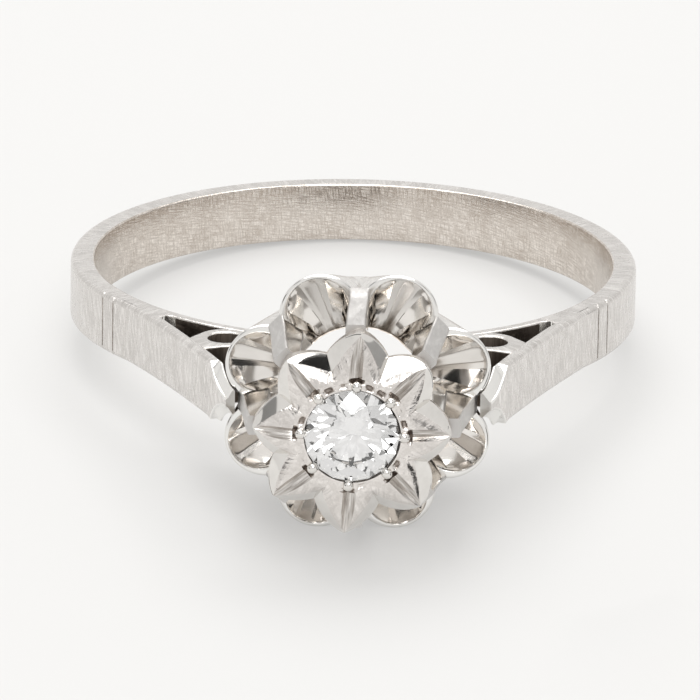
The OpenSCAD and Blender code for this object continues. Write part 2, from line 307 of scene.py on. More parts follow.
# light and dark colour and roughness, then the tone's scale, and where there is any, the bump and the painted
# shade
polishedGolds = {
    "cutGold": ((0.92, 0.91, 0.89), (0.85, 0.84, 0.81), 0.26, (1.5, 1.5)),
    # the hollows' deep end, the well and the petals' underside get painted shade
    "hollowGold": ((0.93, 0.90, 0.865), (0.84, 0.81, 0.77), 0.1, (1.2, 1.2), 0.0,
                   ((0.30, 0.26, 0.22), 11.42, 11.72)),
    "rimGold": ((0.86, 0.85, 0.83), (0.80, 0.79, 0.77), 0.14, (2.0, 2.0)),
    "ribSideGold": ((0.92, 0.89, 0.855), (0.83, 0.80, 0.76), 0.12, (1.5, 1.5)),
    "cutRayGold": ((0.88, 0.85, 0.82), (0.36, 0.33, 0.30), 0.12, (1.0, 16.0), 0.4),  # the graver's ridges
    "flankRayGold": ((0.82, 0.80, 0.77), (0.74, 0.72, 0.69), 0.07, (2.5, 2.5)),
}
gold = {name: satinMetal(name, *values) for name, values in satinGolds.items()}
gold.update({name: polishedMetal(name, *values) for name, values in polishedGolds.items()})
print("materials:", len(gold), "finishes of gold")

diamondGlass, glassShader = material("diamondGlass", (1, 1, 1), 0, 0)
put(glassShader, Transmission_Weight=1, IOR=2.417)

# band and split shoulders; each finish number stands for the material at its place in the list
shankFinishes = [gold[name] for name in ("satinGold", "insideGold", "cutGold", "shadowGold", "pitGold")]
satin, inside, bright, shadeAndTarnish, lineShade = range(5)
shoulder = {
    "leaveAngle": math.radians(36),  # where the outer plate leaves the round
    "waist": 0.11,
    "waistFrom": math.radians(3),
    "plateThickness": 0.42,
    "tipThickness": {1: 0.4, -1: 0.32},  # the left plate thins more towards its tip
    "plateSag": 0.12,
    "strapThickness": 0.35,
    "splitAngle": math.radians(48),
    "splitSag": 0.066,
    "tipX": 3.93,
    "tipOut": 12.8,
    "tipHeight": 0.3,
    "fishRadius": 1.5,
    "strapEndX": 3.03,
    "lineAngles": [math.radians(27), math.radians(31)],
    "cutSlant": 0.26,  # how much higher the fishtail cut is at the plate's inner face
    "lineHalfWidth": (0.01, 0.05),  # a line's side of painted shade and its side of painted highlight
    "lineDepth": 0.03,
    "rounding": 0.17,  # of the outer edges, and of the edges inside
    "roundingInside": 0.06,
    "roundingFades": (0.3, 0.4),  # how far before the fishtail cut, and over what length
    "roundingMost": 0.6,  # as a share of the half height
    "flatFrom": 1.2,  # the flat faces begin this many roundings from an edge
    "uvAside": 3,  # where the UVs of the flat faces begin, beside those of the walls
    "lineClear": 1.5,  # no other points of the band within this many bright sides of a line
    "edgeTurns": (4, 6),  # points in the rounding of an inner and of an outer edge
    "bandSteps": 181,
    "plateSteps": 49,
    "tipFrom": 0.8,  # the plate's last share has closer steps, and the same ones on both its faces
    "tipSteps": 41,
    "splitSteps": 9,  # in each quarter of the split's round start
    "softSteps": 8,  # over which the rounding grows from the split's sharp edges
    "strapSteps": 40,
    "middleFrom": 0.1,  # direction where the line along the flat faces starts to move outwards
}


def plateHeight(out, inward=0.0):
    # half height of the plate: full width, then slanting round cuts of the fish radius narrow it to the tip
    p = shoulder
    away = np.clip(p["tipOut"] - out, 0, p["fishRadius"])
    fish = p["fishRadius"]
    cut = p["tipHeight"] / 2 + p["cutSlant"] * inward + fish - np.sqrt(fish**2 - away**2)
    return np.minimum(ring["halfWidth"], cut)


class Plate:
    # the long outer plate of one side in plan: a straight run that sags inwards by a parabola
    def __init__(self, side):
        p = shoulder
        self.tip = p["tipThickness"][side]
        self.start = polar(ring["bandRadius"] - p["waist"], p["leaveAngle"])
        self.run = np.array([p["tipX"] + self.tip, p["tipOut"]]) - self.start
        self.normal = np.array([self.run[1], -self.run[0]]) / np.linalg.norm(self.run)

    def outer(self, s):
        # start plus s times the run, less the sag times 4 s (1 - s)
        s = np.asarray(s)[..., None]
        return self.start + self.run * s - self.normal * shoulder["plateSag"] * 4 * s * (1 - s)

    def inner(self, s):
        # the outer face moved in by the thickness, which changes evenly towards the tip
        thick = shoulder["plateThickness"]
        thickness = thick + (self.tip - thick) * np.asarray(s)[..., None]
        return self.outer(s) - self.normal * thickness


def softened(count):
    # rounding at each point of a rail that starts at the split, where the edges are sharp
    return ease(np.arange(count) / shoulder["softSteps"]) * shoulder["roundingInside"]


def sideways(rail):
    # the direction to the right of a run of points
    along = np.gradient(rail, axis=0)
    return np.stack([along[:, 1], -along[:, 0]], axis=1) / np.linalg.norm(along, axis=1)[:, None]


def shankRails(side):
    # rails in plan of the undivided band, of the strap and of the plate; they part at the split's round
    # start, a half circle that touches the strap's face and the plate's
    p = shoulder
    plate = Plate(side)
    finger = ring["fingerRadius"]
    strapRadius = finger + p["strapThickness"]
    direction = polar(1.0, p["splitAngle"])
    onward = np.array([-direction[1], direction[0]])
    reach = (plate.start @ plate.normal - p["plateThickness"] - p["splitSag"]) / (direction @ plate.normal)
    splitRadius = (reach - strapRadius) / 2
    centre = (strapRadius + splitRadius) * direction
    quarter = np.linspace(0, math.pi / 2, p["splitSteps"])[:, None]
    lower = centre + splitRadius * (-np.cos(quarter) * onward - np.sin(quarter) * direction)
    upper = centre + splitRadius * (-np.cos(quarter) * onward + np.sin(quarter) * direction)
    apex = lower[0]
    apexAngle, apexRadius = math.atan2(apex[1], apex[0]), math.hypot(apex[0], apex[1])

    # angles round the band, with three for each engraved line
    lines = np.array(p["lineAngles"])
    halfLine = np.array([-p["lineHalfWidth"][0], 0, p["lineHalfWidth"][1]]) / ring["bandRadius"]
    marks = (lines[:, None] + halfLine).ravel()
    a = np.linspace(-math.pi / 2, p["leaveAngle"], p["bandSteps"])
    clear = np.abs(a[:, None] - lines).min(axis=1) > p["lineClear"] * halfLine[2]
    a = np.sort(np.concatenate([a[clear], marks]))
    r = ring["bandRadius"] - p["waist"] * ease((a - p["waistFrom"]) / (p["leaveAngle"] - p["waistFrom"]))
    r = r - p["lineDepth"] * (np.abs(a[:, None] - lines).min(axis=1) < 1e-9)

    # shares along the plate, with one where the fishtail cut begins
    start = np.linspace(0, p["tipFrom"], p["plateSteps"])[:-1]
    s = np.concatenate([start, np.linspace(p["tipFrom"], 1, p["tipSteps"])])
    full = p["tipHeight"] / 2 + p["fishRadius"] - ring["halfWidth"]
    cutOut = p["tipOut"] - math.sqrt(p["fishRadius"] ** 2 - full**2)
    sCut = np.interp(cutOut, plate.outer(s)[:, 1], s)
    tooNear = 0.002
    s = np.sort(np.concatenate([s[np.abs(s - sCut) > tooNear], [sCut]]))
    sApex = s[np.argmin(np.abs((plate.outer(s) - apex) @ plate.run))]
    onPlate = s[(s > 0) & (s <= sApex)]

    # the undivided part: outer face, bore, and a middle line that ends in the split
    outer = np.concatenate([polar(r, a), plate.outer(onPlate)])
    bore = np.concatenate([a, p["leaveAngle"] + (apexAngle - p["leaveAngle"]) * onPlate / sApex])
    share = 0.5 + 0.5 * ease((bore - p["middleFrom"]) / (apexAngle - p["middleFrom"]))
    middle = polar(finger + (apexRadius - finger) * share, bore)
    middle[-1] = apex

    # the strap follows the finger to the collar
    strapEnd = math.acos(p["strapEndX"] / strapRadius)
    boreEnd = math.acos(p["strapEndX"] / finger)
    strapRun = polar(strapRadius, np.linspace(p["splitAngle"], strapEnd, p["strapSteps"])[1:])
    strapOuter = np.concatenate([lower, strapRun])
    t = np.linspace(0, 1, len(strapOuter))
    strapInner = polar(finger, apexAngle + (boreEnd - apexAngle) * t)

    # the free plate: its inner face has as many points as the outer one
    sOuter = s[s >= sApex]
    sBeyond = sOuter[len(upper) - 1 :]
    sStart = ((upper[-1] - plate.start) @ plate.run) / (plate.run @ plate.run)
    sInner = sStart + (sBeyond - sBeyond[0]) * (1 - sStart) / (1 - sBeyond[0])
    sInner = np.where(sBeyond > p["tipFrom"] - 0.01, sBeyond, sInner)
    freeInner, freeOuter = np.concatenate([upper, plate.inner(sInner[1:])]), plate.outer(sOuter)

    # each rail also has the direction in which its edge is rounded, and how far
    whole = np.concatenate([outer, freeOuter[1:]])
    outward = sideways(whole)
    outward[0] = (0, -1)
    before, fading = p["roundingFades"]
    faded = ease((whole[:, 1] - cutOut + before) / fading)
    small, last = p["roundingInside"], len(outer)
    soft = small + (p["rounding"] - small) * (1 - faded)
    bandRail = polar(finger, bore), -polar(1.0, bore), np.full(last, small)
    strapRail = strapInner, -strapInner / finger, np.full(len(t), small)
    freeRail = freeInner, -sideways(freeInner), softened(len(sOuter))
    return (
        (bandRail, middle, (outer, outward[:last], soft[:last])),
        (strapRail, None, (strapOuter, sideways(strapOuter), softened(len(t)))),
        (freeRail, None, (freeOuter, outward[last - 1 :], soft[last - 1 :])),
    )


def addBar(shell, rails, side, cap, wallFinish):
    # a flat bar between two rails: each edge is rounded by a quarter circle, and runs on into the flat faces
    inner, middle, outer = rails
    columns = []
    for (rail, away, soft), inward, turns in zip((inner, outer), (1, 0), shoulder["edgeTurns"]):
        high = plateHeight(rail[:, 1], inward)
        soft = np.minimum(soft, high * shoulder["roundingMost"])
        edge = [(rail - away * (soft * (1 - math.cos(q)))[:, None], high - soft * (1 - math.sin(q)))
                for q in np.linspace(0, math.pi / 2, turns)]
        edge.append((rail - away * (soft * shoulder["flatFrom"])[:, None], high))
        columns += edge if inward else edge[::-1]
        if inward and middle is not None:
            columns.append((middle, plateHeight(middle[:, 1])))
    top = np.stack([leaning(side * plan[:, 0], -plan[:, 1], high) for plan, high in columns], axis=1)
    bottom = np.stack([leaning(side * plan[:, 0], -plan[:, 1], -high) for plan, high in columns], axis=1)

    # the UVs run round the finger from the back, so that the pattern passes from band to plate unbroken
    rail = outer[0]
    run = side * ring["bandRadius"] * (math.pi / 2 + np.arctan2(rail[:, 1], rail[:, 0]))
    width = np.stack([np.linalg.norm(plan - rail, axis=1) for plan, high in columns], axis=1)
    flat = np.stack(np.broadcast_arrays(run[:, None], width + shoulder["uvAside"]), axis=-1)
    narrow = plateHeight((rail[1:, 1] + rail[:-1, 1]) / 2) < ring["halfWidth"] - 1e-6
    innerEdge = np.arange(len(columns) - 1) < shoulder["edgeTurns"][0] - 1
    edgeFinish = inside if wallFinish[0] == inside else satin
    finish = np.where(narrow[:, None], bright, np.where(innerEdge, edgeFinish, satin))
    for surface in (top, bottom):
        shell.addGrid(surface, finish.ravel(), flat)

    for edge, finish in zip((0, -1), wallFinish):
        wall = np.stack([bottom[:, edge], top[:, edge]], axis=1)
        high = columns[edge][1]
        atSplit = np.arange(len(run) - 1) < shoulder["splitSteps"]
        finish = np.where((finish == shadeAndTarnish) & atSplit, bright, finish)
        if edge == -1:  # the engraved lines, with painted shade on one side and a painted highlight on the other
            angle = np.arctan2(rail[1:, 1] + rail[:-1, 1], rail[1:, 0] + rail[:-1, 0])
            past = ((angle[:, None] - shoulder["lineAngles"]) * ring["bandRadius"]).T
            for part, reach, kind in zip((-past, past), shoulder["lineHalfWidth"], (lineShade, bright)):
                finish = np.where(((part > 0) & (part < reach)).any(axis=0), kind, finish)
        flat = np.stack([np.stack([run, run], axis=1), np.stack([-high, high], axis=1)], axis=-1)
        shell.addGrid(wall, finish, flat)
    if cap:
        shell.add(cells(np.stack([bottom[-1], top[-1]])), bright)


# small round tubes in the shoulders; solder fills the corner between tube and plate
tube = {
    "x": 4.33,
    "standRadius": 0.97,  # with the sink, how far the tube's middle stands off the strap
    "sink": 0.08,
    "radius": 0.93,
    "hole": 0.57,
    "proud": 0.004,
    "webFrom": math.radians(2),  # the solder meets the plate between these two directions
    "webTo": math.radians(62),
    "webAt": 0.5,  # share of the plate where its distance is taken
    "webOverlap": 0.02,
    "webBulge": 0.1,
    "webReach": 1.2,  # turn away from the plate's normal up to which the distance to the plate is taken
    "fillet": math.radians(34),
    "rounding": 0.05,
    "edgeMiddle": (0.02, 0.015),  # middle of the edges' roundings: away from the hole, and below the top
    "steps": 144,
    "uvInner": 0.6,  # the UVs' rows lie between this radius and 1
}


def addTube(shell, side):
    # a ring in polar form; outside it follows the plate between the web's directions, with fillets beside
    p, plate = tube, Plate(side)
    seatRadius = ring["fingerRadius"] + shoulder["strapThickness"] + p["standRadius"] - p["sink"]
    centre = np.array([p["x"], math.sqrt(seatRadius**2 - p["x"] ** 2)])
    a = np.linspace(-math.pi, math.pi, p["steps"] + 1)[:-1]
    wall = (plate.inner(p["webAt"]) - centre) @ plate.normal
    facing = math.atan2(plate.normal[1], plate.normal[0])
    toWall = (wall + p["webOverlap"]) / np.cos(np.clip(a - facing, -p["webReach"], p["webReach"]))
    atFrom, atTo = np.interp([p["webFrom"], p["webTo"]], a, toWall)
    before = np.clip((a - p["webFrom"] + p["fillet"]) / p["fillet"], 0, 1) ** 2
    after = np.clip((p["webTo"] + p["fillet"] - a) / p["fillet"], 0, 1) ** 2
    r = np.full(len(a), p["radius"])
    r = np.where(a < p["webFrom"], r + (atFrom - r) * before, r)
    r = np.where(a > p["webTo"], p["radius"] + (atTo - p["radius"]) * after, r)
    inWeb = (a >= p["webFrom"]) & (a <= p["webTo"])
    across = (a - p["webFrom"]) / (p["webTo"] - p["webFrom"])
    r = np.where(inWeb, toWall + p["webBulge"] * np.sin(across * math.pi), r)

    high, soft = ring["halfWidth"] + p["proud"], p["rounding"]
    inner, outer = p["hole"], r
    aside, below = p["edgeMiddle"]
    rows = [(inner, -high + soft), (inner, high - soft), (inner + aside, high - below), (inner + soft, high),
            (outer - soft, high), (outer - below, high - below), (outer, high - soft), (outer, -high + soft),
            (outer - soft, -high), (inner + soft, -high)]
    grid = np.stack([leaning(side * (centre[0] + radius * np.cos(a)), -(centre[1] + radius * np.sin(a)), up)
                     for radius, up in rows])
    rowFinish = np.full(len(rows), satin)
    # painted shade with some tarnish on the tube's hole and its outside
    rowFinish[[0, 6]] = shadeAndTarnish  # the hole and the outside
    spread = np.linspace(p["uvInner"], 1, len(rows))
    flat = centre + np.stack([np.outer(spread, np.cos(a)), np.outer(spread, np.sin(a))], axis=-1)
    shell.addGrid(grid, np.repeat(rowFinish, len(a)), flat, wrapRows=True, wrapCols=True)


shankShell = Shell()
tubeShell = Shell()
for side in (1, -1):
    band, strap, free = shankRails(side)
    addBar(shankShell, band, side, False, (inside, satin))
    addBar(shankShell, strap, side, True, (inside, shadeAndTarnish))
    addBar(shankShell, free, side, True, (shadeAndTarnish, satin))
    addTube(tubeShell, side)
shankShell.build("shank", shankFinishes, "shank", 40)
tubeShell.build("shoulder_tubes", shankFinishes, "shank", 40)

# petal cup: a fluted wall with one hollow for each petal, eight flat ribs between them, and a collar
cupFinishes = [gold[name] for name in ("hollowGold", "rimGold", "flankGold", "ribGold", "ribSideGold")]
hollow, rimTop, flank, ribFace, ribSide = range(5)
cup = {
    "rimOut": 12.5,
    "petalRadius": 1.35,
    "petalAt": 3.18,
    "archRadius": 1.0,  # the hollow's inner edge
    "archAt": 3.4,
    "archSteps": 57,
    "endSteps": 6,  # columns where the arch's ends run on along the ribs
    "endLength": 0.72,
    "endDrop": 0.27,
    "ribClear": 0.3,  # half distance between two hollows along a rib
    "rimRound": 0.09,
    "rimLean": 0.3,  # share of that by which the flank's top leans in
    "rimTurns": ((0.12, 9), (0.15, 8)),  # first direction and rows of the outer and of the inner rounding
    "rimCrest": 0.55,  # share of the rim's width where it is highest
    "innerRound": (0.6, 0.5),  # breadth and depth of the inner rounding, as shares of the outer one
    "rimStep": 0.05,
    "stepIn": (0.006, 0.01),  # how far the step's foot and the hollow stand inside the arch
    "hollowSag": 0.1,
    "endSag": 0.6,  # share of the sag that the arch's ends lose
    "hollowSteps": 26,
    "hollowBunch": 1.3,  # power by which the rows crowd towards the rim
    "flats": (0, 6, 15, 26, 30, 38, 42, 53, 62, 68),  # columns at the edges between the hollow's flats
    "flatCurve": 0.14,  # share of the hollow's depth in which a flat meets the arch
    "baseOut": 9.4,
    "baseRadius": 3.3,
    "baseBulge": 0.08,
    "baseRound": (0.04, 0.012),  # breadth, and height as a share of the flank's
    "flankSteps": 18,
    "wellRadius": 2.15,
    "wellOut": 11.2,
    "wellRound": 0.1,
    "brinkOver": 0.09,  # height of the hollow's end above the well
    "brinkFall": (0.01, 0.07),  # how far it has fallen halfway to the well's wall, and at the wall
    "wellDeep": 0.35,
    "tuck": 0.05,  # how far the wall's hidden edges lie inside base and collar
    "underDrop": 1.25,  # from the rim to where the petals' hidden side meets the base
    "uvRadius": 3.5,  # where the UVs' first part is true to size
    "ribHalf": 0.325,
    "ribInner": 2.8,
    "ribRound": 0.09,
    "ribTurns": 9,  # points in each rounded edge
    # levels of a rib's sections, its outer face as (out, radius), and its foot's inner face
    "ribLevels": (10.85, 11.3, 11.9, 12.3, 12.42, 12.49, 12.56, 12.7, 12.9, 13.08, 13.16, 13.6, 14.2, 14.8,
                  15.05),
    "ribOuter": ((10.9, 3.37), (12.4, 3.84), (12.5, 3.87), (13.1, 3.72), (15.0, 3.42)),
    "ribFoot": ((10.85, 3.3), (11.5, 2.8)),
    "collarRadius": 3.0,
    "collarWall": 0.4,
    "collarOverlap": 0.15,
    "collarSteps": 96,
}


def addCupWall(shell):
    # one petal is a sheet of columns from rib to rib, and rows from the base over the rim down the hollow
    p = cup
    half = sector / 2
    turn = math.pi / 2 + half
    ends = p["endSteps"]
    arc = np.linspace(-turn, turn, p["archSteps"])
    phi = np.concatenate([np.full(ends, -turn), arc, np.full(ends, turn)])
    slide = np.concatenate([np.linspace(1, 0, ends + 1)[:-1], 0 * arc, np.linspace(0, 1, ends + 1)[1:]])
    # inner edge of the hollow: an arch whose two ends run on along the ribs
    arch = np.array([p["archAt"], 0.0]) + polar(p["archRadius"], phi)
    along = polar(np.ones(len(phi)), np.sign(phi) * half)
    arch = arch - along * slide[:, None] * p["endLength"]
    # outer edge: where rays from the arch's centre meet the petal's circle, stopped at the rib's middle
    offset = p["archAt"] - p["petalAt"]
    reach = -offset * np.cos(phi) + np.sqrt(p["petalRadius"] ** 2 - (offset * np.sin(phi)) ** 2)
    outer = np.array([p["archAt"], 0.0]) + polar(1.0, phi) * reach[:, None]
    aside = p["petalAt"] * math.sin(half)
    notch = p["petalAt"] * math.cos(half) + math.sqrt(p["petalRadius"] ** 2 - aside**2)
    past = np.abs(np.arctan2(outer[:, 1], outer[:, 0])) > half - 1e-6
    outer[past] = notch * along[past]
    wellAngle = np.linspace(-1, 1, len(phi)) * (half - math.asin(p["ribClear"] / p["wellRadius"]))
    well, brink = polar(p["wellRadius"], wellAngle), polar(p["wellRadius"] + p["wellRound"], wellAngle)
    rim, soft = p["rimOut"], p["rimRound"]
    angle = np.arctan2(outer[:, 1], outer[:, 0])
    spread = np.hypot(outer[:, 0], outer[:, 1])

    base, baseOut = p["baseRadius"], p["baseOut"]
    roundBroad, roundHigh = p["baseRound"]
    atCollar = polar(p["collarRadius"] - p["tuck"], angle), baseOut
    rows = [atCollar, (polar(base - roundBroad, angle), baseOut)]
    top = spread - soft * p["rimLean"]
    for f in np.linspace(roundHigh, 1, p["flankSteps"]):  # widens from the round base to the scalloped rim
        r = base + (top - base) * f + p["baseBulge"] * math.sin(math.pi * f)
        rows.append((polar(r, angle), baseOut + (rim - soft - baseOut) * f))
    flankEnd = len(rows) - 1
    width = np.linalg.norm(outer - arch, axis=1)[:, None]
    inward = (arch - outer) / np.maximum(width, 1e-6)
    edge = inward * np.minimum(soft, width / 2)
    outerTurn, innerTurn = (np.linspace(first, math.pi / 2, steps) for first, steps in p["rimTurns"])
    (broad, deep), (footIn, hollowIn) = p["innerRound"], p["stepIn"]
    for q in outerTurn:  # rounded over to the top
        rows.append((outer + edge * (1 - math.cos(q)), rim - soft * (1 - math.sin(q))))
    rows.append((outer + inward * width * p["rimCrest"], rim))
    for q in innerTurn:  # a smaller rounding, then a step down into the hollow
        rows.append((arch - edge * broad * (1 - math.sin(q)), rim - soft * deep * (1 - math.cos(q))))
    start = rim - soft * deep - p["rimStep"] - slide * p["endDrop"]
    rows.append((arch + inward * footIn, start))
    rimEnd = len(rows) - 1
    # the hollow is cut in narrow flats; each runs straight between two columns and meets the arch in a curve
    edges = np.array(p["flats"])
    column = np.arange(len(phi))
    archFlat = np.stack([np.interp(column, edges, arch[edges, i]) for i in (0, 1)], axis=1)
    brinkFlat = np.stack([np.interp(column, edges, brink[edges, i]) for i in (0, 1)], axis=1)
    end = p["wellOut"] + p["brinkOver"]
    for f in np.linspace(0.0, 1, p["hollowSteps"])[1:] ** p["hollowBunch"]:
        curve = (arch - archFlat) * max(0.0, 1 - f / p["flatCurve"]) ** 2
        sink = p["hollowSag"] * 4 * f * (1 - f) * (1 - p["endSag"] * slide)
        plan = archFlat * (1 - f) + brinkFlat * f + curve + inward * hollowIn
        rows.append((plan, start + (end - start) * f - sink))
    # over the well's edge, down its wall, and back under the petals to the base
    halfway, atWall = p["brinkFall"]
    rows += [((brink + well) / 2, end - halfway), (well, end - atWall), (well, p["wellOut"] - p["wellDeep"])]
    rows += [(polar(base - p["tuck"], angle), rim - p["underDrop"]), atCollar]

    plan = np.stack([row[0] for row in rows])
    out = np.stack([np.broadcast_to(row[1], len(phi)) for row in rows])
    row = np.arange(len(rows) - 1)
    rowFinish = np.where(row < flankEnd, flank, np.where(row < rimEnd, rimTop, hollow))
    turns = (np.arange(ring["petals"]) + 0.5) * sector
    c, s = np.cos(turns)[None, :, None], np.sin(turns)[None, :, None]
    x = (plan[:, None, :, 0] * c - plan[:, None, :, 1] * s).reshape(len(rows), -1)
    up = (plan[:, None, :, 0] * s + plan[:, None, :, 1] * c).reshape(len(rows), -1)
    out = np.tile(out, (1, ring["petals"]))
    grid = leaning(x, -out, up)
    flat = np.stack(np.broadcast_arrays(np.arctan2(up, x) * p["uvRadius"], out), axis=-1)
    shell.addGrid(grid, np.repeat(rowFinish, len(phi) * ring["petals"]), flat, wrapCols=True)


def addRibs(shell):
    # a rounded bar: at each level its section is a rounded rectangle between the inner and the outer face
    p = cup
    level = np.array(p["ribLevels"])
    outer = np.interp(level, *np.array(p["ribOuter"]).T)
    inner = np.maximum(p["ribInner"], np.interp(level, *np.array(p["ribFoot"]).T))
    soft, turns = p["ribRound"], p["ribTurns"]
    quarter = np.linspace(0, math.pi / 2, turns)
    # corner by corner round the section: share of the depth, side, and the two parts of the rounding
    rc = np.concatenate([np.sin(quarter), np.cos(quarter), -np.sin(quarter), -np.cos(quarter)])
    yc = np.concatenate([-np.cos(quarter), np.sin(quarter), np.cos(quarter), -np.sin(quarter)])
    deep = np.repeat([1, 1, 0, 0], turns)
    rightOrLeft = np.repeat([-1, 1, 1, -1], turns)
    r = inner[:, None] + soft + (outer - inner - 2 * soft)[:, None] * deep + soft * rc
    y = (p["ribHalf"] - soft) * rightOrLeft + soft * yc
    y = np.broadcast_to(y, r.shape)
    high = np.broadcast_to(level[:, None], r.shape)
    onSide = np.isin(np.arange(len(rc)), (2 * turns - 1, 4 * turns - 1))
    finish = np.tile(np.where(onSide, ribSide, ribFace), len(level) - 1)
    for k in range(ring["petals"]):
        c, s = math.cos(sector * k), math.sin(sector * k)
        grid = leaning(r * c - y * s, -high, r * s + y * c)
        shell.addGrid(grid, finish, np.stack([y, high], axis=-1), wrapCols=True)
        for end in (0, -1):  # closed with a fan of cells to the middle
            rim = grid[end]
            middle = np.broadcast_to(rim.mean(axis=0), rim.shape)
            shell.add(np.stack([rim, np.roll(rim, -1, axis=0), middle, middle], axis=1), ribFace)


def addCollar(shell):
    # a short tube whose far end follows the finger
    p = cup
    a = np.linspace(0, 2 * math.pi, p["collarSteps"] + 1)[:-1]
    outer, inner = p["collarRadius"], p["collarRadius"] - p["collarWall"]
    near = np.full(len(a), p["baseOut"] + p["collarOverlap"])
    rows = []
    for r, far in ((outer, False), (outer, True), (inner, True), (inner, False)):
        finger = np.sqrt(ring["fingerRadius"] ** 2 - (r * np.cos(a)) ** 2)
        rows.append(leaning(r * np.cos(a), -finger if far else -near, r * np.sin(a)))
    shell.add(cells(np.stack(rows), wrapRows=True, wrapCols=True), flank)


cupShell = Shell()
addCupWall(cupShell)
addRibs(cupShell)
addCollar(cupShell)
cupShell.build("petal_cup", cupFinishes, "petal_cup", 13)

# star plate: every ray has an uneven V cut along it, a flat on each side and a falling flank round its edge
starFinishes = [gold[name] for name in ("cutRayGold", "rayGold", "flankRayGold", "underGold", "pitGold")]
rayCut, rayFlat, rayFlank, plateUnder, rayPit = range(5)
star = {
    # each ray as cut by hand: the angle of its tip in degrees, how far it reaches, and how round its end is
    "rays": (
        (-0.4, 3.12, 1.4),
        (43.8, 3.2, 1.5),
        (86.2, 3.27, 1.3),
        (131.7, 3.14, 1.3),
        (177.4, 3.15, 1.3),
        (220.5, 3.28, 1.4),
        (266.3, 3.36, 1.6),
        (312.5, 3.28, 2.1),
    ),
    "middle": -0.05,
    "cutSteps": 9,  # columns from the cut's bottom to its edge, and on from there to the valley
    "flatSteps": 17,
    "raySteps": 34,  # rows along a ray, on the shelf, down the flank and round its foot
    "shelfSteps": 15,
    "flankSteps": 9,
    "footSteps": 5,
    "underside": 15.03,
    "underRound": ((0.005, 0.05), (0.04, 0.0)),  # inwards from the foot, and above the underside
    "underRing": 2.2,
    "holeRadius": 1.135,  # the seat is open below, and widens in a cone between two levels
    "coneFrom": 15.49,
    "coneTo": 15.91,
    "valleyTop": 2.14,  # where two rays' flats meet, and where their flanks end
    "valleyFoot": 2.62,
    "flankAtTip": 0.02,
    "bulge": 0.07,
    "flankFall": (0.07, 0.85),  # the flank's fall at no breadth, and its slope
    "flankBend": 0.2,  # share of the fall that grows with the square
    "rimRound": 0.035,
    "rimDeep": 1.5,  # the rounding's depth, in its breadths
    "shelf": 1.93,  # radius where the cuts begin
    "shelfLevel": 0.4,  # share of the shelf that stays level round the seat
    "seatRadius": 1.555,
    "seatOut": 16.06,
    "flatOut": 16.04,
    "tipFall": 0.3,
    "tipBend": 1.3,  # power by which the fall grows along the ray
    "valleyFall": 0.27,
    "cutWide": 0.28,  # the cut's two sides, its bottom's place across the ray and its depth
    "cutNarrow": 0.15,
    "cutMiddle": -0.03,
    "cutDepth": 0.17,
    "cutTaper": 0.8,  # the higher, the blunter the cut ends at the tip
    "middleFades": 0.3,  # length before the tip in which the cut's bottom comes to the middle
    "depthFades": 0.45,  # and in which it rises
    "pitDepth": 0.17,
    "pitUneven": (0.4, 5),  # share and waves of the sine from ray to ray
    "markUneven": (0.5, 7, 2.1),  # the same for the marks, and the shift between a ray's two sides
    "pitAt": 1.84,
    "pitHalf": (0.075, 0.2),  # along the ray and across it
    "pitShows": 0.06,  # depth from which a pit or mark gets the painted shade of the pit finish
    "markDepth": 0.12,
    "markAt": (1.7, 0.42),  # distance from the middle, and from the ray's line
    "markHalf": (0.08, 0.13),
    "beadRadius": 0.18,
    "beadSteps": (12, 24),  # cells from pole to pole and round
    "beadLong": 1.1,
    "beadAt": 1.655,
    "beadOut": 16.06,
}


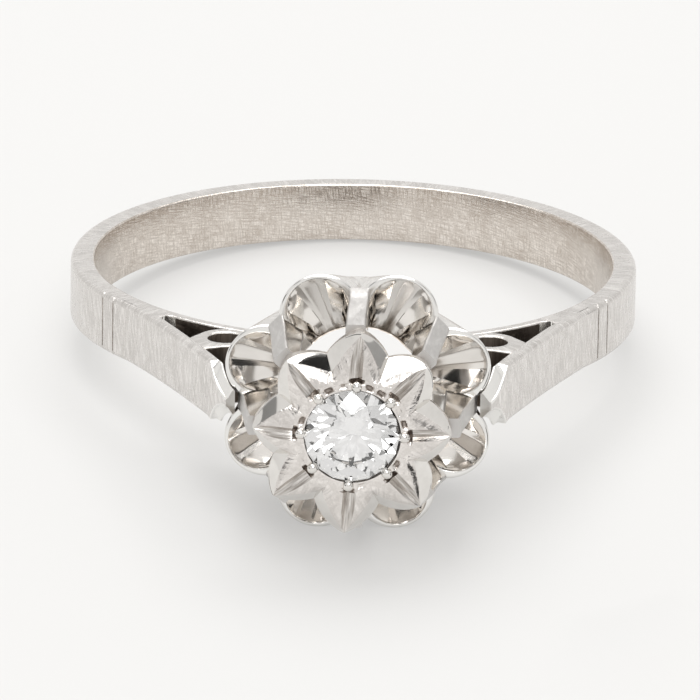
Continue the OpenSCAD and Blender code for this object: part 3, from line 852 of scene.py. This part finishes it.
def addStar(shell):
    # grid[ray, row, column]; rows run from the seat to the tip, down the flank and back under the plate
    p = star
    tip = np.radians([ray[0] for ray in p["rays"]])[:, None, None]
    reach, roundness = (np.array([ray[i] for ray in p["rays"]])[:, None, None] for i in (1, 2))
    after = (np.roll(tip, -1, axis=0) - tip) % (2 * math.pi) / 2
    before = np.roll(after, 1, axis=0)
    # columns: side -1 or 1, cut 0 at the cut's bottom to 1 at its edge, flat 0 there to 1 at the valley
    cutShare, flatShare = np.linspace(0, 1, p["cutSteps"]), np.linspace(0, 1, p["flatSteps"])
    inCut, onFlat = np.stack([cutShare, 0 * cutShare]), np.stack([0 * flatShare + 1, flatShare])
    oneSide = np.concatenate([inCut, onFlat[:, 1:]], axis=1)
    cut = np.concatenate([oneSide[0, :0:-1], oneSide[0]])[1:]
    flat = np.concatenate([oneSide[1, :0:-1], oneSide[1]])[1:]
    side = np.repeat([-1.0, 1.0], [len(oneSide[0]) - 2, len(oneSide[0])])
    half = np.where(side < 0, before, after)

    s = np.linspace(0, 1, p["raySteps"])[None, :, None]
    along = p["shelf"] + (reach - p["shelf"]) * s
    left = reach - along
    # the cut keeps its width and closes towards the tip: w (1 - exp(-taper d / w)) at the distance d from it
    width = np.where(side < 0, p["cutNarrow"], p["cutWide"])
    edge = side * width * (1 - np.exp(-p["cutTaper"] * left / width))
    bottom = p["cutMiddle"] * (1 - np.exp(-left / p["middleFades"]))
    y = bottom + (edge - bottom) * cut
    x = np.sqrt(along**2 - y**2)
    valley = p["shelf"] + (p["valleyTop"] - p["shelf"]) * s
    vx, vy = valley * np.cos(half), side * valley * np.sin(half)
    normal = np.stack([np.broadcast_to(np.abs(vy), (len(reach), s.shape[1], len(cut))), side * (reach - vx)])
    normal = normal / np.hypot(normal[0], normal[1])
    bow = p["bulge"] * 4 * flat * (1 - flat) * s**3
    x = x + (vx - x) * flat + normal[0] * bow
    y = y + (vy - y) * flat + normal[1] * bow
    high = p["flatOut"] - p["tipFall"] * (1 - flat) * s ** p["tipBend"] - p["valleyFall"] * flat * s
    out = high - p["cutDepth"] * (1 - np.exp(-left / p["depthFades"])) * (1 - cut)

    # shelf round the seat, with a pit behind each bead and a graver's mark on each side of it; both are
    # flat-bottomed bells, exp(-u to the fourth), and differ from ray to ray by a sine of the ray's angle
    u = np.linspace(0, 1, p["shelfSteps"])[None, :-1, None]
    around = np.arctan2(y[:, :1], x[:, :1])
    sx, sy = p["seatRadius"] * np.cos(around), p["seatRadius"] * np.sin(around)
    shelfX, shelfY = sx + (x[:, :1] - sx) * u, sy + (y[:, :1] - sy) * u
    level = p["shelfLevel"]
    plainShelf = p["seatOut"] + (out[:, :1] - p["seatOut"]) * ease((u - level) / (1 - level))
    (pitLong, pitWide), (markLong, markWide), markAt = p["pitHalf"], p["markHalf"], p["markAt"]
    pit = np.exp(-(((shelfX - p["pitAt"]) / pitLong) ** 4) - (shelfY / pitWide) ** 4)
    share, waves = p["pitUneven"]
    shelfOut = plainShelf - p["pitDepth"] * (1 + share * np.sin(waves * tip)) * pit
    offMark = ((np.abs(shelfY) - markAt[1]) / markWide) ** 4
    mark = np.exp(-(((np.hypot(shelfX, shelfY) - markAt[0]) / markLong) ** 4) - offMark)
    share, waves, apart = p["markUneven"]
    shelfOut = shelfOut - p["markDepth"] * mark * (1 - share + share * np.sin(waves * tip + apart * side))

    # flank: straight from the star's edge to a scalloped foot, then rounded under
    edgeX, edgeY, edgeOut = x[:, -1:], y[:, -1:], out[:, -1:]
    b = np.arctan2(edgeY, edgeX)
    nearTip = 1 - np.clip(np.abs(b) / half, 0, 1) ** roundness
    foot = p["valleyFoot"] + (reach + p["flankAtTip"] - p["valleyFoot"]) * nearTip
    footX, footY = foot * np.cos(b), foot * np.sin(b)
    breadth = np.hypot(footX - edgeX, footY - edgeY)
    fall = p["flankFall"][0] + p["flankFall"][1] * breadth
    t = np.linspace(0, 1, p["flankSteps"])[None, 1:, None]
    flankX, flankY = edgeX + (footX - edgeX) * t, edgeY + (footY - edgeY) * t
    flankOut = edgeOut - fall * ((1 - p["flankBend"]) * t + p["flankBend"] * t**2)
    q = np.linspace(0, math.pi / 2, p["footSteps"])[None, 1:, None]
    rolled = p["rimRound"] * np.sin(q)
    rollX, rollY = footX + rolled * np.cos(b), footY + rolled * np.sin(b)
    rollOut = flankOut[:, -1:] - p["rimRound"] * (1 - np.cos(q)) * p["rimDeep"]

    def loop(radius, level):
        # a plain ring under the plate, at the same angles as the columns
        return radius * np.cos(b), radius * np.sin(b), level + 0 * b

    under = p["underside"]
    last = np.hypot(rollX[:, -1:], rollY[:, -1:])
    tail = [loop(last - aside, under + above) for aside, above in p["underRound"]]
    tail += [loop(p["underRing"], under), loop(p["holeRadius"], under), loop(p["holeRadius"], p["coneFrom"])]
    tail += [loop(p["seatRadius"], p["coneTo"])]
    parts = [(shelfX, shelfY, shelfOut), (x, y, out), (flankX, flankY, flankOut), (rollX, rollY, rollOut)]
    parts += tail
    x, y, out = (np.concatenate([part[i] for part in parts], axis=1) for i in range(3))

    c, sn = np.cos(tip), np.sin(tip)
    grid = toFrame(x * c - y * sn + p["middle"], -out, x * sn + y * c)
    grid = np.swapaxes(grid, 0, 1).reshape(x.shape[1], -1, 3)
    surface = np.swapaxes(np.stack([x, y], axis=-1), 0, 1).reshape(x.shape[1], -1, 2)
    finish = np.full(x.shape, plateUnder)
    first, second = u.shape[1], u.shape[1] + s.shape[1]
    finish[:, : second - 1] = rayFlat
    finish[:, first : second - 1, (cut < 1) | (np.roll(cut, -1) < 1)] = rayCut
    finish[:, second - 1 : second + t.shape[1] + q.shape[1] - 1] = rayFlank
    # pits and marks deeper than that are painted dark as shade
    finish[:, :first][shelfOut < plainShelf - p["pitShows"]] = rayPit
    shell.addGrid(grid, np.swapaxes(finish, 0, 1).ravel(), surface, wrapRows=True, wrapCols=True)


def addBeads(shell):
    # round-topped beads: spheres drawn out a little along the ray
    p = star
    rows, columns = p["beadSteps"]
    lat = np.linspace(0, math.pi, rows + 1)[:, None]
    lon = np.linspace(0, 2 * math.pi, columns + 1)[None, :-1]
    x = p["beadAt"] + p["beadRadius"] * p["beadLong"] * np.sin(lat) * np.cos(lon)
    y = p["beadRadius"] * np.sin(lat) * np.sin(lon)
    out = p["beadOut"] + p["beadRadius"] * np.cos(lat)
    for ray in p["rays"]:
        turn = math.radians(ray[0])
        c, s = math.cos(turn), math.sin(turn)
        bead = toFrame(x * c - y * s + p["middle"], -out, x * s + y * c)
        shell.add(cells(bead, wrapCols=True), rayFlank)


starShell = Shell()
addStar(starShell)
addBeads(starShell)
starShell.build("star_plate", starFinishes, "star_plate", 18)

# diamond: round brilliant
stone = {
    "middle": -0.07,
    "radius": 1.525,
    "girdleOut": 15.94,
    "girdle": 0.08,
    "crownAngle": math.radians(34.5),
    "pavilionAngle": math.radians(40.8),
    "tableShare": 0.57,
    "lowerShare": 0.24,  # how near the middle the lower halves reach
}


def ringOfCorners(radius, out, count, turn):
    # corners evenly round the stone's axis, all at one level
    angle = math.pi / 2 + turn + 2 * math.pi * np.arange(count) / count
    points = toFrame(radius * np.cos(angle), -out, radius * np.sin(angle))
    return points + np.array([stone["middle"] / perMetre, 0, 0])


def following(corners):
    # the next corner of a ring, for each of its corners
    return np.roll(corners, -1, axis=0)


def previous(corners):
    # the corner before, in the same way
    return np.roll(corners, 1, axis=0)


def addBrilliant(shell):
    # table, eight stars, eight kites, sixteen upper halves, girdle, sixteen lower halves and eight mains;
    # a corner's level is its distance inside the girdle times the tangent of the crown's or pavilion's angle
    p, n, half = stone, ring["petals"], sector / 2
    top, low = p["girdleOut"] + p["girdle"], p["girdleOut"]
    tableRadius = p["radius"] * p["tableShare"]
    midRadius = (tableRadius + p["radius"]) / 2
    lowerRadius = p["radius"] * p["lowerShare"]
    rise, fall = math.tan(p["crownAngle"]), math.tan(p["pavilionAngle"])
    table = ringOfCorners(tableRadius, top + (p["radius"] - tableRadius) * rise, n, 0)
    mid = ringOfCorners(midRadius, top + (p["radius"] - midRadius * math.cos(half)) * rise, n, half)
    upper, under = ringOfCorners(p["radius"], top, 2 * n, 0), ringOfCorners(p["radius"], low, 2 * n, 0)
    lower = ringOfCorners(lowerRadius, low - (p["radius"] - lowerRadius * math.cos(half)) * fall, n, half)
    culet = np.repeat(toFrame(0.0, -(low - p["radius"] * fall), 0.0)[None], n, axis=0)
    centre = np.repeat(table.mean(axis=0)[None], n, axis=0)
    for corners in (
        (centre, table, following(table)),
        (table, following(table), mid),
        (table, mid, upper[0::2], previous(mid)),
        (mid, upper[0::2], upper[1::2]),
        (mid, upper[1::2], following(upper[0::2])),
        (upper, following(upper), following(under), under),
        (lower, under[0::2], under[1::2]),
        (lower, under[1::2], following(under[0::2])),
        (culet, previous(lower), under[0::2], lower),
    ):
        shell.add(np.stack(corners + corners[-1:] * (4 - len(corners)), axis=1))  # three make a triangle


diamondShell = Shell()
addBrilliant(diamondShell)
diamondShell.build("diamond", [diamondGlass], "diamond", 1)

# floor: a pale sheet that glows faintly
ground = {
    "halfWidth": 1,  # metres
    "colour": (0.32, 0.318, 0.313),
    "roughness": 0.7,
    "glow": (1, 0.993, 0.98),
    "glowStrength": 0.385,
}


def sheet(name, centre, across, upward, paper):
    # one face from its centre and its two half sides
    corners = [centre + across * i + upward * j for i, j in ((-1, -1), (1, -1), (1, 1), (-1, 1))]
    mesh = bpy.data.meshes.new(name)
    mesh.from_pydata([c.tolist() for c in corners], [], [(0, 1, 2, 3)])
    mesh.materials.append(paper)
    return placed(name, mesh)


floorPaper, floorShader = material("floorPaper", ground["colour"], 0, ground["roughness"])
put(floorShader, Emission_Color=(*ground["glow"], 1), Emission_Strength=ground["glowStrength"])
half = ground["halfWidth"]
floor = sheet("floor", np.zeros(3), np.array([half, 0, 0]), np.array([0, half, 0]), floorPaper)

# camera: distance and angles are in the ring's own plane
view = {
    "distance": 300.0,
    "elevation": math.radians(17.301),
    "azimuth": math.radians(-0.4),
    "roll": math.radians(0.986),
    "pixelsPerMm": 29.721,
    "centreRight": 3.068,  # from the ring's centre to the picture's, in pixels
    "centreUp": 63.007,
    "pictureWidth": 700,
    "sensorWidth": 36,
    "clip": (0.01, 10),
}


def placeCamera():
    # the camera stands at its distance along the sight line through the picture's centre, turned by the roll
    p = view
    e, a = p["elevation"], p["azimuth"]
    back = np.array([math.sin(a) * math.cos(e), -math.cos(a) * math.cos(e), math.sin(e)])
    right = np.cross(-back, [0, 0, 1])
    right /= np.linalg.norm(right)
    up = np.cross(right, -back)
    c, s = math.cos(p["roll"]), math.sin(p["roll"])
    right, up = right * c + up * s, up * c - right * s
    target = -(right * p["centreRight"] + up * p["centreUp"]) / p["pixelsPerMm"]
    place, aim, zero = toFrame(*(back * p["distance"])), toFrame(*target), toFrame(0.0, 0.0, 0.0)
    zAxis = (place - aim) / np.linalg.norm(place - aim)
    xAxis = np.cross(toFrame(*up) - zero, zAxis)
    xAxis /= np.linalg.norm(xAxis)
    axes = np.eye(4)
    axes[:3, 0], axes[:3, 1], axes[:3, 2], axes[:3, 3] = xAxis, np.cross(zAxis, xAxis), zAxis, place
    data = bpy.data.cameras.new("camera")
    data.lens = p["sensorWidth"] * p["pixelsPerMm"] * p["distance"] / p["pictureWidth"]
    data.clip_start, data.clip_end = p["clip"]
    camera = placed("camera", data)
    camera.matrix_world = Matrix(axes.tolist())
    bpy.context.scene.camera = camera


placeCamera()

# light: a white tent all round, with dark cards that give the polished faces something to reflect
studio = {
    "tent": (1.0, 0.99, 0.975),
    "strength": 0.85,
    # place in metres, width and power of the soft boxes
    "lamps": (
        ((0, 0.12, 0.45), 0.6, 2.5),
        ((0.05, -0.3, 0.34), 0.22, 0.45),
    ),
    "cardDistance": 0.4,
    "cardRoughness": 0.9,
    # elevation, azimuth from the viewer to the right, width and height in degrees, and the card's tone
    "cards": (
        (73, 90, 22, 22, 0.01),
        (9, 95, 34, 22, 0.35),
        (43, -90, 36, 14, 0.28),
        (27, 45, 24, 16, 0.25),
        (10, -70, 32, 13, 0.0),
    ),
    # a black slip close to the head: centre, half width and half height, in millimetres
    "slip": ((8.7, -14.3, 1.9), (1.77, 1.07, 0.0), (0.0, 0.0, 1.47)),
}
world = bpy.data.worlds.new("studio")
world.use_nodes = True
put(world.node_tree.nodes["Background"], Color=(*studio["tent"], 1), Strength=studio["strength"])
bpy.context.scene.world = world
bpy.context.scene.view_settings.view_transform = "Standard"


def addLamp(place, size, power):
    # a round soft box turned towards the ring
    data = bpy.data.lights.new("softBox", "AREA")
    data.shape, data.size, data.energy = "DISK", size, power
    lamp = placed("softBox", data)
    lamp.location = place
    lamp.rotation_euler = Vector(place).to_track_quat("Z", "Y").to_euler()


for lamp in studio["lamps"]:
    addLamp(*lamp)


def placeCard(centre, across, upward, tone, castsShadow):
    # the camera sees a card only in reflections
    paper = material("cardPaper", (tone, tone, tone), 0, studio["cardRoughness"])[0]
    card = sheet("card", centre, across, upward, paper)
    card.visible_camera = False
    card.visible_shadow = card.visible_diffuse = castsShadow


for elevation, azimuth, width, height, tone in studio["cards"]:
    e, a = math.radians(elevation), math.radians(azimuth)
    away = np.array([math.cos(e) * math.sin(a), -math.cos(e) * math.cos(a), math.sin(e)])
    away *= studio["cardDistance"]
    across = np.array([math.cos(a), math.sin(a), 0.0])
    upward = np.cross(across, away)
    across *= studio["cardDistance"] * math.tan(math.radians(width / 2))
    upward *= math.tan(math.radians(height / 2))
    placeCard(away, across, upward, tone, True)
placeCard(*(np.array(vector) / perMetre for vector in studio["slip"]), 0.0, False)
print("studio: floor, camera,", len(studio["lamps"]), "lamps and", len(studio["cards"]) + 1, "cards")
